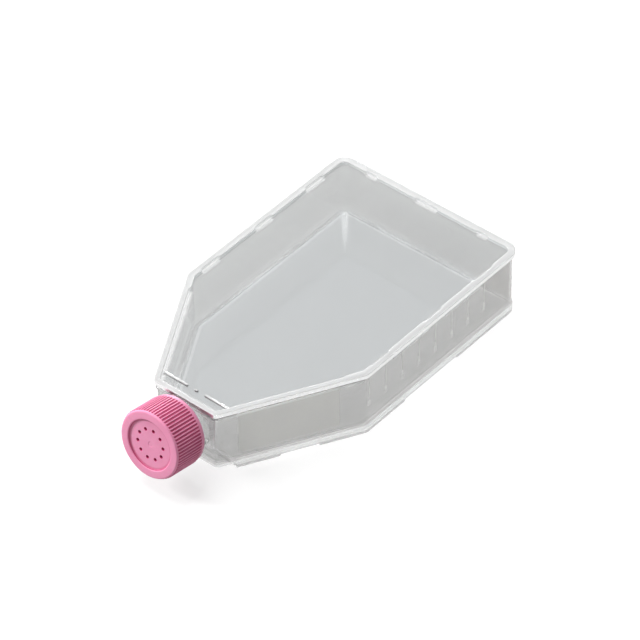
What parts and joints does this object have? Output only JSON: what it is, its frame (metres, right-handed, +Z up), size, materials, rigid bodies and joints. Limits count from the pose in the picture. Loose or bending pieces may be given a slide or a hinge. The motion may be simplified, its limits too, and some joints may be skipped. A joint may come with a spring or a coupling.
{
  "type": "cell culture flask",
  "caption": "Flat clear rectangular flask with tapered shoulders, raised stacking rim and feet, and a canted neck closed by a ribbed, vented screw cap.",
  "frame": {"origin": "middle of the flask's footprint, neck and cap included, on the surface that it lies on", "axes": "+Z up through the top plate, +Y towards the flask's back, -Y towards the neck and cap, +X towards the side with the volume marks and the writing field"},
  "size_m": [0.1178, 0.2204, 0.0458],
  "materials": {
    "clear_body": "clear injection-moulded polystyrene, polished, with a frosted writing field",
    "clear_plate": "clear injection-moulded polystyrene, polished",
    "cap_pink": "pink moulded polyethylene, satin",
    "membrane_white": "white hydrophobic filter film, matte"
  },
  "bodies": {
    "flask": {"flask_body": "clear_body", "top_plate": "clear_plate"},
    "filter": {"vent_membrane": "membrane_white"},
    "cap": {"cap_shell": "cap_pink"}
  },
  "joints": [
    {"name": "cap_lift", "type": "slide", "parent": "flask", "child": "filter", "axis": [0, -0.9842, 0.1771], "range_m": [0, 0.0301]},
    {"name": "cap_turn", "type": "hinge", "parent": "filter", "child": "cap", "pos_m": [0, -0.07966, 0.02251], "axis": [0, -0.9842, 0.1771], "range_deg": [0, 2160]}
  ],
  "couplings": [
    {"joint": "cap_lift", "follows": "cap_turn", "m_per_rad": 0.00079577}
  ]
}
